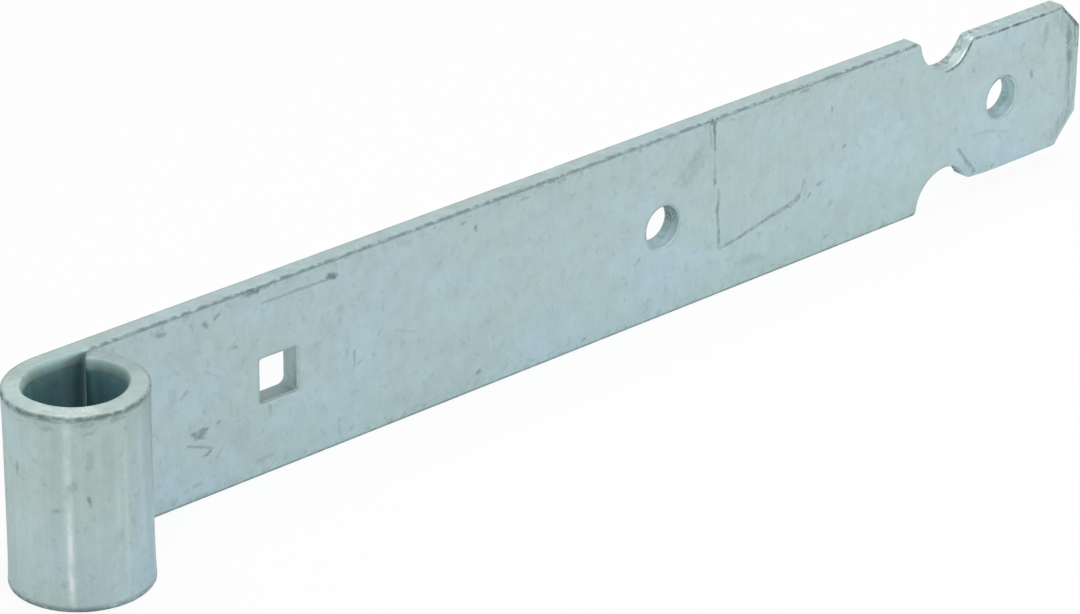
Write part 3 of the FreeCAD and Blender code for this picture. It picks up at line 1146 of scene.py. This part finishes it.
def dirt_and_shade_cover(plate, finish):
    """How dark the grime is along the cuts and beside the mill edges, and the dark line where the
    mill edges are rounded, which is partly grime and partly painted shade over their highlight.
    """
    along, eye_outside = plate.along, plate.eye_outside
    smudge = noise(plate.blank, (0.5, 0.7, 0.5), 4.0, 0.65)
    patchy = smudge.ramp(0.35, 0.6, 0.22, 1.0)
    # The line along the mill edges is partly grime and partly painted shade, laid where the
    # rounding would be shaded and over its highlight
    uneven_gap = plate.mill_gap + (smudge - 0.5) * 1.3
    line_gap = abs(uneven_gap - eye_outside.ramp(0.0, 1.0, 0.32, 0.6))
    line = line_gap.ramp(0.15, eye_outside.ramp(0.0, 1.0, 0.5, 1.0), 1.0, 0.0)
    line *= patchy * plate.on_face * eye_outside.ramp(0.0, 1.0, 0.95, 1.2)
    smeared = plate.mill_gap.ramp(0.3, 3.6, 1.0, 0.0) * smudge.ramp(0.50, 0.66)
    smeared *= plate.on_face * 0.6
    corner = abs(plate.through).ramp(1.3, 1.6, 0.0, 0.6) * patchy * plate.mill_wall
    edges = largest(line, smeared, corner) * plate.not_bore * finish.edge_dirt_and_shade

    streaks = noise(plate.blank, (0.8, 0.11, 0.5), 3.0, 0.55).ramp(0.36, 0.6, 0.15, 1.0)
    head_end = abs(plate.sheared_gap - 2.9).ramp(0.9, 2.2, 0.3, 0.0) * along.ramp(270.0, 277.0)
    by_notch = along.ramp(236.0, 241.0) * plate.across.ramp(2.0, 6.0)
    cuts = largest(by_notch, plate.mid_height * 0.2) * patchy
    cuts *= abs(plate.sheared_gap - 0.45).ramp(0.1, 0.45, 1.0, 0.0)
    return largest(edges, largest(head_end * streaks, cuts) * plate.on_face)


def tear_walls(plate, colour):
    """Tears the cut walls beyond where the tool wiped them, and says where and how roughly."""
    torn_line = noise(plate.blank, (0.35, 0.35, 0.0)).ramp(0.3, 0.7, -0.2, 0.5)
    torn = (plate.through - torn_line).ramp(-0.35, 0.35)
    torn *= (plate.cut_wall - plate.in_square * 0.75).clamped()
    tear = noise(plate.blank, (0.9, 0.9, 0.7), 4.0, 0.7)
    by_notches = abs(plate.along - 245.0).ramp(9.0, 6.0)
    darkest = by_notches.ramp(0.0, 1.0, 0.84, 0.5)
    colour = stained_and_shaded(colour, torn, tear.ramp(0.36, 0.62, darkest, 1.04))
    pitted = noise(plate.blank, (2.4, 2.4, 2.4), 3.0, 0.7).ramp(0.50, 0.58) * plate.cut_wall
    pitted *= abs(plate.along - 160.0).ramp(2.6, 1.2) * plate.across.ramp(-1.2, 0.6)
    return stained_and_shaded(colour, pitted, STAINS_AND_SHADE["pit"]), torn, tear


def zinc_material(finish):
    """Bright zinc plate under a blue-green film, with lines worn bright that are partly painted
    highlights, scratches, grime, and painted light and shade.
    """
    material = bpy.data.materials.new("bright_zinc_plate")
    tree = empty_tree(material)
    plate = Plate(tree)
    colour, bore = shade_bore(plate, film_colour(plate, finish))
    colour = shade_walls(plate, colour)
    # Painted highlights, which also stand for plating worn bright, and are less rough
    rubbed_and_highlit = rubbed_and_highlit_cover(plate)
    colour = blend(rubbed_and_highlit, colour, (*finish.bright, 1))
    # Scratches, specks and grime, with painted shade along the mill edges
    dirt_and_shade = largest(mark_cover(plate, finish), dirt_and_shade_cover(plate, finish))
    colour = blend(dirt_and_shade, colour, (*finish.soot_and_shade, 1))
    # Painted shade on the mill edges' rounding, dimming its highlight, which is also made rougher
    edge_glint_shade = plate.mill_gap.ramp(0.75, 0.35) * plate.on_face * plate.not_bore
    colour = stained_and_shaded(colour, edge_glint_shade, STAINS_AND_SHADE["painted shade on the mill edge rounding"])
    colour, torn, tear = tear_walls(plate, colour)

    rough = plate.mottle.ramp(0.2, 0.8, 0.36, 0.48) - rubbed_and_highlit * 0.14
    rough += largest(dirt_and_shade, torn) * 0.2
    rough = (rough + largest(plate.holes * 0.2, bore * 0.25)).clamped()
    rough = (rough + edge_glint_shade * 0.3).clamped()
    height = plate.grain * (plate.mill_wall * 0.035 + 0.010) + plate.mottle * 0.030
    height += tear * torn * 0.08
    bump = add_node(tree, "ShaderNodeBump", {"Strength": 1.0, "Distance": MM, "Height": height})
    steel = add_node(tree, "ShaderNodeBsdfPrincipled", {
        "Base Color": colour, "Roughness": rough, "Normal": bump.outputs[0],
        "Metallic": 1.0 - dirt_and_shade * 0.8, "Specular IOR Level": (1.0 - dirt_and_shade).clamped() * 0.5,
        "Specular Tint": (0.78, 0.80, 0.82, 1)})
    add_node(tree, "ShaderNodeOutputMaterial", {"Surface": steel.outputs[0]})
    return material


class GATEBAND_OT_roll_band(bpy.types.Operator):
    """Cuts the blank, rolls its eye and plates it"""

    bl_idname = "gateband.roll_band"
    bl_label = "Roll the band"

    def execute(self, context):
        sizes, finish = context.scene.band_sizes, context.scene.zinc_finish
        vertices, faces, attributes = band_arrays(sizes)
        mesh = bpy.data.meshes.new("gate_band")
        mesh.from_pydata(vertices.tolist(), [], faces)
        if mesh.validate(verbose=False):
            raise RuntimeError("the band's mesh had faulty faces")
        for name, values in attributes.items():
            add_vector_attribute(mesh, name, values)
        mesh.shade_smooth()
        mesh.materials.append(zinc_material(finish))
        band = bpy.data.objects.new("gate_band", mesh)
        context.scene.collection.objects.link(band)
        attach(band, "root")
        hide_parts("band")
        return {"FINISHED"}


# The floor's own colour, and how much of it is plain white where it is seen or mirrored
FLOOR_COLOUR = (0.85, 0.85, 0.85, 1)
FLOOR_WHITE_SEEN = 0.9
FLOOR_WHITE_MIRRORED = 0.5

# Half the floor's side, the lamps' places and their sides, in metres. The top lamp stands over
# the middle of the band, and the front lamp between the camera and the aim
FLOOR_REACH = 3.0
TOP_LAMP_BACK, TOP_LAMP_HEIGHT, TOP_LAMP_SIDE = 0.1, 1.0, 0.9
FRONT_LAMP_BEFORE, FRONT_LAMP_ABOVE, FRONT_LAMP_RIGHT, FRONT_LAMP_SIDE = 0.9, 0.45, 0.7, 0.4

# Width of the camera's sensor in millimetres
SENSOR_WIDTH = 36.0


def floor_material():
    """White to the camera, with part of the object's shadow left in it."""
    material = bpy.data.materials.new("studio_floor")
    tree = empty_tree(material)
    paths = add_node(tree, "ShaderNodeLightPath").outputs
    mirrored = largest(Number(paths["Is Glossy Ray"]), Number(paths["Is Transmission Ray"]))
    seen = Number(paths["Is Camera Ray"])
    share = largest(seen * FLOOR_WHITE_SEEN, mirrored * FLOOR_WHITE_MIRRORED)
    matt = add_node(tree, "ShaderNodeBsdfDiffuse", {"Color": FLOOR_COLOUR})
    white = add_node(tree, "ShaderNodeEmission")
    values = {0: share, 1: matt.outputs[0], 2: white.outputs[0]}
    mix = add_node(tree, "ShaderNodeMixShader", values)
    add_node(tree, "ShaderNodeOutputMaterial", {"Surface": mix.outputs[0]})
    return material


def light_world(scene, ambient):
    """A white world, dimmer where it only lights."""
    world = bpy.data.worlds.new("studio")
    tree = empty_tree(world)
    paths = add_node(tree, "ShaderNodeLightPath").outputs
    kinds = ("Camera", "Glossy", "Transmission")
    shown = largest(*(Number(paths[f"Is {kind} Ray"]) for kind in kinds))
    background = add_node(tree, "ShaderNodeBackground", {
        "Color": (1, 1, 1, 1), "Strength": shown * (1.0 - ambient) + ambient})
    add_node(tree, "ShaderNodeOutputWorld", {"Surface": background.outputs[0]})
    scene.world = world


def add_lamp(scene, name, place, target, size, power):
    """A square soft lamp that faces a point."""
    data = bpy.data.lights.new(name, "AREA")
    data.shape = "SQUARE"
    data.size = size
    data.energy = power
    lamp = bpy.data.objects.new(name, data)
    lamp.location = place
    lamp.rotation_euler = (Vector(target) - Vector(place)).to_track_quat("-Z", "Y").to_euler()
    scene.collection.objects.link(lamp)


def sight(studio):
    """The directions ahead, right and down of the camera."""
    az, el, roll = studio.azimuth, studio.elevation, studio.roll
    ahead = Vector((math.sin(az) * math.cos(el), math.cos(az) * math.cos(el), -math.sin(el)))
    level = Vector((math.cos(az), -math.sin(az), 0))
    below = ahead.cross(level)
    right = level * math.cos(roll) + below * math.sin(roll)
    down = below * math.cos(roll) - level * math.sin(roll)
    return ahead, right, down


def add_camera(scene, studio):
    """The camera, at the photograph's viewing angle."""
    ahead, right, down = sight(studio)
    data = bpy.data.cameras.new("camera")
    data.sensor_width = SENSOR_WIDTH
    data.lens = studio.lens
    camera = bpy.data.objects.new("camera", data)
    turn = Matrix((right, -down, -ahead)).transposed()
    place = Vector(studio.aim) - ahead * studio.distance
    camera.matrix_world = Matrix.Translation(place) @ turn.to_4x4()
    scene.collection.objects.link(camera)
    scene.camera = camera


class GATEBAND_OT_lay_stage(bpy.types.Operator):
    """Adds the floor, the lamps, the white world and the camera"""

    bl_idname = "gateband.lay_stage"
    bl_label = "Lay out the studio"

    def execute(self, context):
        scene, studio = context.scene, context.scene.studio_settings
        reach, level = FLOOR_REACH, BAND_LOW[2]
        mesh = bpy.data.meshes.new("studio_floor")
        corners = [(-reach, -reach), (reach, -reach), (reach, reach), (-reach, reach)]
        mesh.from_pydata([(*corner, level) for corner in corners], [], [(0, 1, 2, 3)])
        mesh.materials.append(floor_material())
        floor = bpy.data.objects.new("studio_floor", mesh)
        scene.collection.objects.link(floor)
        light_world(scene, studio.ambient)
        middle = (BAND_HIGH[0] / 2, 0, 0)
        overhead = (middle[0], TOP_LAMP_BACK, TOP_LAMP_HEIGHT)
        add_lamp(scene, "top_lamp", overhead, middle, TOP_LAMP_SIDE, studio.top_lamp)
        ahead, right, down = sight(studio)
        before = Vector(studio.aim) - ahead * FRONT_LAMP_BEFORE
        before = before - down * FRONT_LAMP_ABOVE + right * FRONT_LAMP_RIGHT
        add_lamp(scene, "front_lamp", before, middle, FRONT_LAMP_SIDE, studio.front_lamp)
        add_camera(scene, studio)
        scene.view_settings.view_transform = "Standard"
        return {"FINISHED"}


class GATEBAND_PT_sidebar(bpy.types.Panel):
    """Lists the steps and their settings"""

    bl_label = "Gate band"
    bl_space_type = "VIEW_3D"
    bl_region_type = "UI"
    bl_category = "Gate band"

    def draw(self, context):
        layout = self.layout
        for group, operator in (
                ("band_sizes", GATEBAND_OT_roll_band), ("zinc_finish", None),
                ("studio_settings", GATEBAND_OT_lay_stage)):
            settings = getattr(context.scene, group)
            column = layout.column()
            for name in settings.bl_rna.properties.keys():
                if name not in ("rna_type", "name"):
                    column.prop(settings, name)
            if operator:
                column.operator(operator.bl_idname)


CLASSES = (
    BandSizes, ZincFinish, StudioSettings,
    GATEBAND_OT_roll_band, GATEBAND_OT_lay_stage, GATEBAND_PT_sidebar,
)


def register():
    for each in CLASSES:
        bpy.utils.register_class(each)
    bpy.types.Scene.band_sizes = PointerProperty(type=BandSizes)
    bpy.types.Scene.zinc_finish = PointerProperty(type=ZincFinish)
    bpy.types.Scene.studio_settings = PointerProperty(type=StudioSettings)


def unregister():
    del bpy.types.Scene.band_sizes
    del bpy.types.Scene.zinc_finish
    del bpy.types.Scene.studio_settings
    for each in reversed(CLASSES):
        bpy.utils.unregister_class(each)


def main():
    """Builds the band and its stage."""
    register()
    bpy.ops.gateband.roll_band()
    bpy.ops.gateband.lay_stage()


if __name__ == "__main__":
    main()
